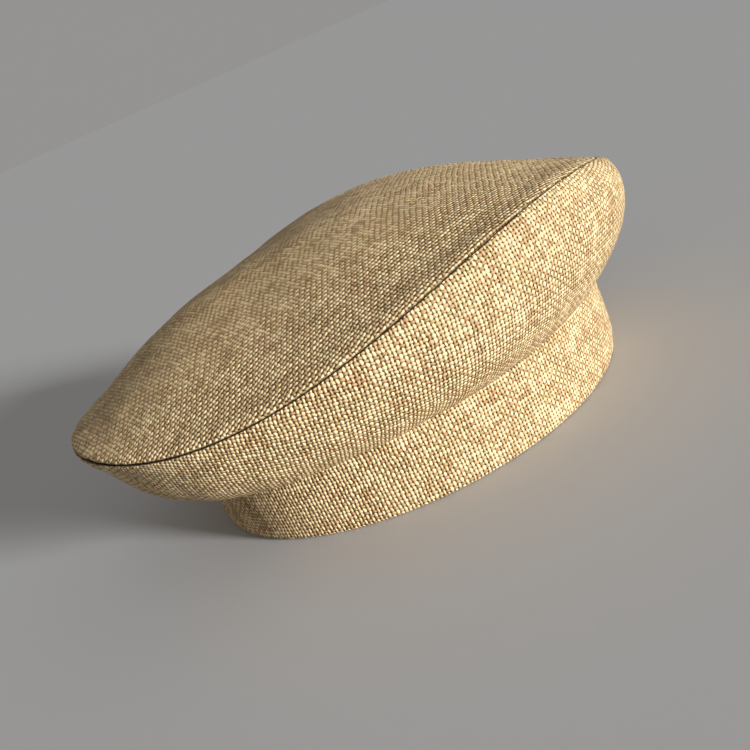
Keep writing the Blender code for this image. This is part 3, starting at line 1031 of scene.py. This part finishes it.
angles = np.linspace(0, 2 * pi, 360, endpoint=False)
corner, inwards, half_angle = tip_corner(angles)
in_seam = roll_reach(half_angle, EDGE_ROLL, SEAM_SLIT) + 0.0009 - front_fullness(angles)
line = corner + inwards * in_seam[:, None]
row = stitch_row("tip_seam_stitches", line, True, STITCH_PITCH, towards_middle)
settle(row, "cap", "sewing_thread", THREAD, "tip_seam_thread")
corner, inwards, *_ = waist_corner(angles)
line = corner + inwards * WAIST_STITCH_DEPTH
row = stitch_row("waist_seam_stitches", line, True, STITCH_PITCH, towards_middle)
settle(row, "cap", "sewing_thread", THREAD, "waist_seam_thread")
for word, angle in (("front", 0.0), ("back", pi)):
    t = np.linspace(0.06, 0.94, 60)
    where = np.full(60, angle)
    line = side_surface(where, t) - outward(side_surface, where, t) * END_STITCH_DEPTH
    row = stitch_row(word + "_seam_stitches", line, False, STITCH_PITCH, towards_middle)
    settle(row, "cap", "sewing_thread", THREAD, word + "_seam_thread")
heights = np.linspace(0.004, 0.031, 30)
line = band_point(np.full(30, pi), np.full(30, END_STITCH_DEPTH), heights)
row = stitch_row("headband_seam_stitches", line, False, STITCH_PITCH, towards_middle)
settle(row, "cap", "sewing_thread", THREAD, "headband_seam_thread")
line = band_point(angles, np.full(360, RIBBON_DEPTH + SWEATBAND + 0.0001), np.full(360, 0.0055))
row = stitch_row("ribbon_stitches", line, True, RIBBON_STITCH_PITCH,
                 lambda place: -towards_middle(place))
settle(row, "cap", "sewing_thread", THREAD, "sweatband_lower_stitch")

# %% [markdown]
# ## The label
# A blank tape hangs from its sewn top edge inside the back. It moves with its own body, so its origin
# doesn't matter, only its place. Its lower corners curl a little, as washed tape does.

# %% Label
low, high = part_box("care_label")
hinge = Vector(frame["joints"][0]["pos_m"])
LABEL = 0.0004


def label_grid(rows=34, columns=40):
    down = np.linspace(0, 1, rows)[:, None]
    across = np.linspace(-1, 1, columns)[None, :]
    x_top, x_bottom = hinge.x - LABEL / 2, high.x - LABEL
    x = x_top + (x_bottom - x_top) * down + 0.0005 * down ** 3 * (0.4 + across ** 2)
    y = across * (high.y - low.y) / 2 + 0 * down
    z = hinge.z + (low.z - hinge.z) * down + 0 * across
    x = x + 0.00012 * hump(down - 0.06, 0.04)
    return np.stack([x, -y, z], axis=-1), flat_cut(y, z)


points, cut = label_grid()
label = shell("blank_label", points, False, LABEL, cut)
settle(label, "label", "label_tape", TAPE, "care_label")
as_sheet(label, "hung", "label_stitch")
low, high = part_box("label_stitch")
y = np.linspace(low.y + 0.001, high.y - 0.001, 40)
line = np.stack([np.full(40, (low.x + high.x) / 2), y, np.full(40, (low.z + high.z) / 2)], axis=1)
row = stitch_row("label_stitches", line, False, LABEL_STITCH_PITCH,
                 lambda place: np.array([-1.0, 0, 0]), LABEL_STITCH_RADIUS)
settle(row, "cap", "sewing_thread", THREAD, "label_stitch")

# %% [markdown]
# ## Floor and light
# A plain grey floor runs far enough to meet a sky of about the same tone. The key light is soft and
# low, in front of the cap and on the camera's side, so the flank is bright, the tip is grazed and the
# weave shows. The sky opens the shadows, and a very weak light from behind helps it a little.

# %% Stage
FLOOR_RADIUS = 60.0
FLOOR_CORNERS = 96
FLOOR_GREY = (0.53, 0.53, 0.535, 1)
SKY_WHITE = (1.0, 0.98, 0.95, 1)
SKY_STRENGTH = 0.30
KEY = (30.0, 8.5, 11.0, 6.0)             # azimuth, elevation, softness in degrees, strength
FILL = (-135.0, 28.0, 25.0, 0.05)


def pale_floor():
    """A round floor so wide that its edge meets the sky, which has about the same tone."""
    round_about = np.linspace(0, 2 * pi, FLOOR_CORNERS, endpoint=False)
    points = [(FLOOR_RADIUS * cos(angle), FLOOR_RADIUS * sin(angle), 0.0) for angle in round_about]
    mesh = bpy.data.meshes.new("floor")
    mesh.from_pydata(points, [], [range(FLOOR_CORNERS)])
    floor = bpy.data.objects.new("floor", mesh)
    bpy.context.scene.collection.objects.link(floor)
    material, _, shader = new_material("pale_floor")
    shader.inputs["Base Color"].default_value = FLOOR_GREY
    shader.inputs["Roughness"].default_value = 1.0
    shader.inputs["Specular IOR Level"].default_value = 0.0
    mesh.materials.append(material)
    floor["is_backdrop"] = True


def even_light(name, azimuth, elevation, softness, strength):
    """A light from far away, which falls evenly on the floor and leaves no edge on it."""
    lamp = bpy.data.lights.new(name, "SUN")
    lamp.angle = radians(softness)
    lamp.energy = strength
    lit = bpy.data.objects.new(name, lamp)
    bpy.context.scene.collection.objects.link(lit)
    lit.rotation_euler = direction(azimuth, elevation).to_track_quat("Z", "Y").to_euler()


def plain_tones():
    """Shows colours as they are, without the film-like softening that is the default."""
    bpy.context.scene.view_settings.view_transform = "Standard"


def pale_sky():
    world = bpy.data.worlds.new("pale_sky")
    world.use_nodes = True
    world.node_tree.nodes["Background"].inputs["Color"].default_value = SKY_WHITE
    world.node_tree.nodes["Background"].inputs["Strength"].default_value = SKY_STRENGTH
    bpy.context.scene.world = world


pale_floor()
even_light("key_light", *KEY)
even_light("fill_light", *FILL)
pale_sky()
plain_tones()

# %% Sizes
low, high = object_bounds()
print("visual box, mm:", [round(1000 * x, 1) for x in (*low, *high)])
